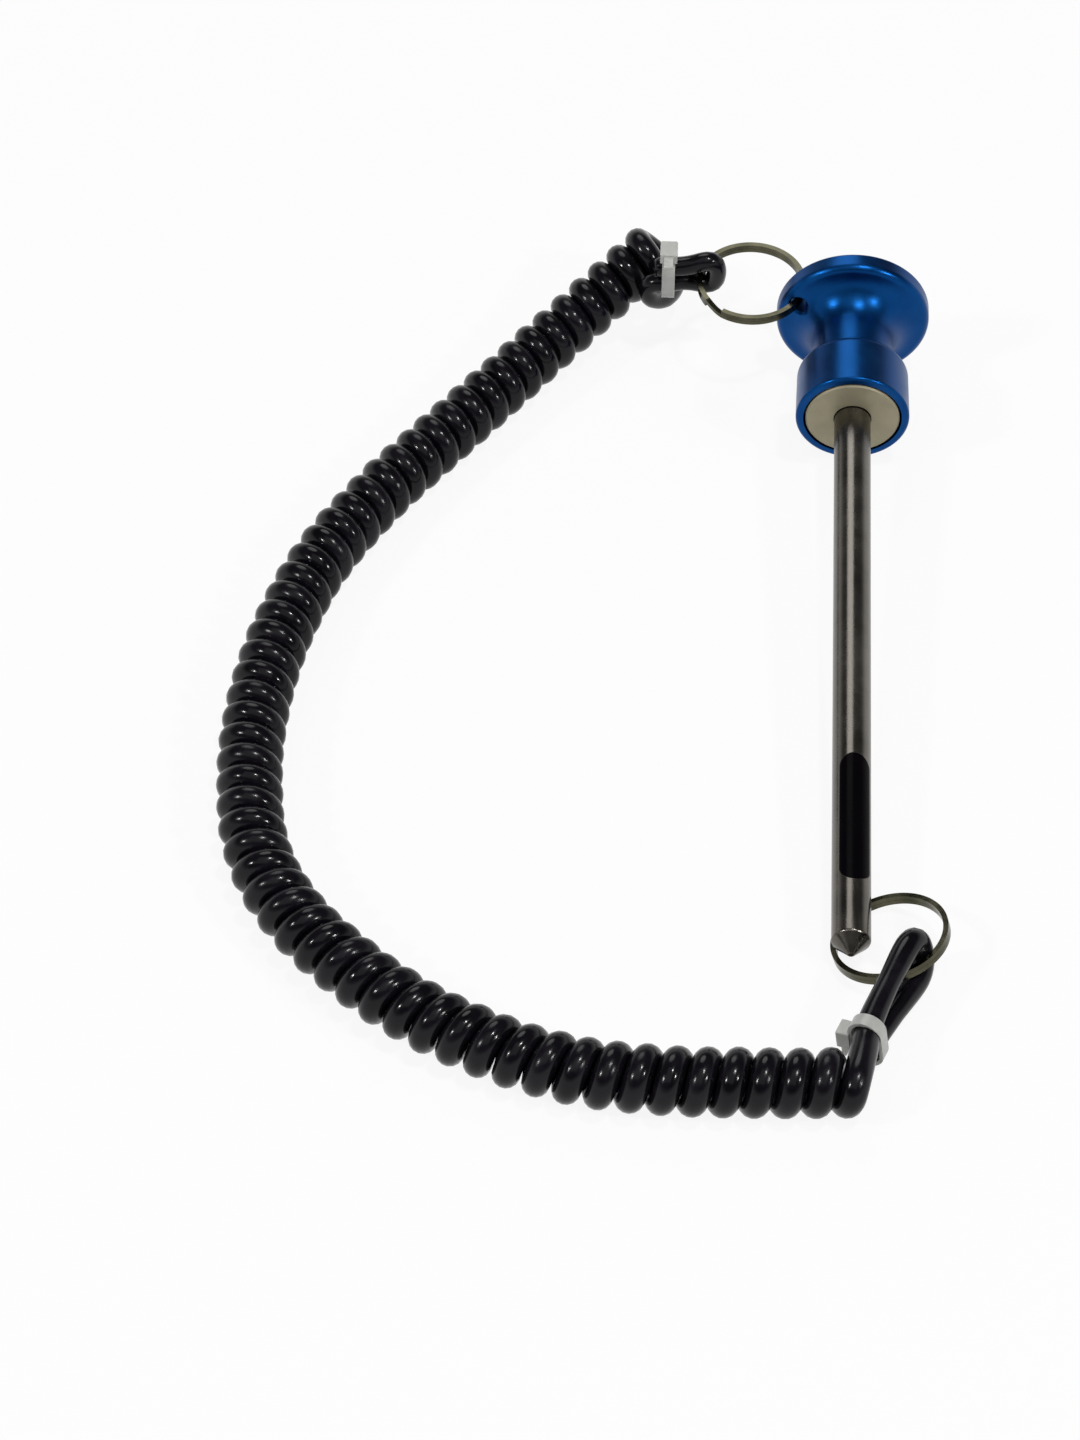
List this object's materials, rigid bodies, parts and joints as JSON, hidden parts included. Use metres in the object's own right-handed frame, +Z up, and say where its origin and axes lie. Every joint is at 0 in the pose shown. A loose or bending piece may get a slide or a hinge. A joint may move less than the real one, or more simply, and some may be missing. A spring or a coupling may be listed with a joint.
{
  "type": "weight stack pin",
  "caption": "Magnetic selector pin for a weight stack: a coned steel rod in a spool-shaped anodised knob, with a coiled lanyard held by split rings and cable ties",
  "frame": {"origin": "on the surface it lies on, under the middle of the pin's bounding box (knob, rod and magnet without the lanyard)", "axes": "+Y runs along the pin from its coned tip to its knob, level with the surface; +Z is up; +X is to the right seen from the tip with Z up. The pin's own axis rises 3.35 degrees from its tip to its knob, because the flange of the knob rests on the surface"},
  "size_m": [0.1791, 0.2911, 0.0405],
  "materials": {
    "knob": "satin blue anodised",
    "rod": "ground",
    "magnet": "dull nickel plated",
    "ring": "polished nickel plated",
    "cord": "glossy",
    "tie": "milky, slightly translucent"
  },
  "bodies": {
    "pin": {"knob": "knob", "rod": "rod", "magnet": "magnet"},
    "lanyard": {"coil": "cord", "upper_loop": "cord", "lower_loop": "cord", "upper_tie": "tie", "lower_tie": "tie"},
    "upper_ring": {"upper_ring": "ring"},
    "lower_ring": {"lower_ring": "ring"}
  },
  "joints": [
    {"name": "ring_swing", "type": "hinge", "parent": "pin", "child": "lanyard", "pos_m": [-0.0146, 0.10368, 0.0267], "axis": [0, 0.9983, 0.0584], "range_deg": [0, 90]},
    {"name": "upper_ring_turn", "type": "hinge", "parent": "lanyard", "child": "upper_ring", "pos_m": [-0.02723, 0.10838, 0.02697], "axis": [0, -0.0584, 0.9983], "continuous": true},
    {"name": "lower_ring_turn", "type": "hinge", "parent": "lanyard", "child": "lower_ring", "pos_m": [0.0094, -0.1009, 0.00564], "axis": [-0.2896, 0.117, 0.95], "continuous": true}
  ]
}
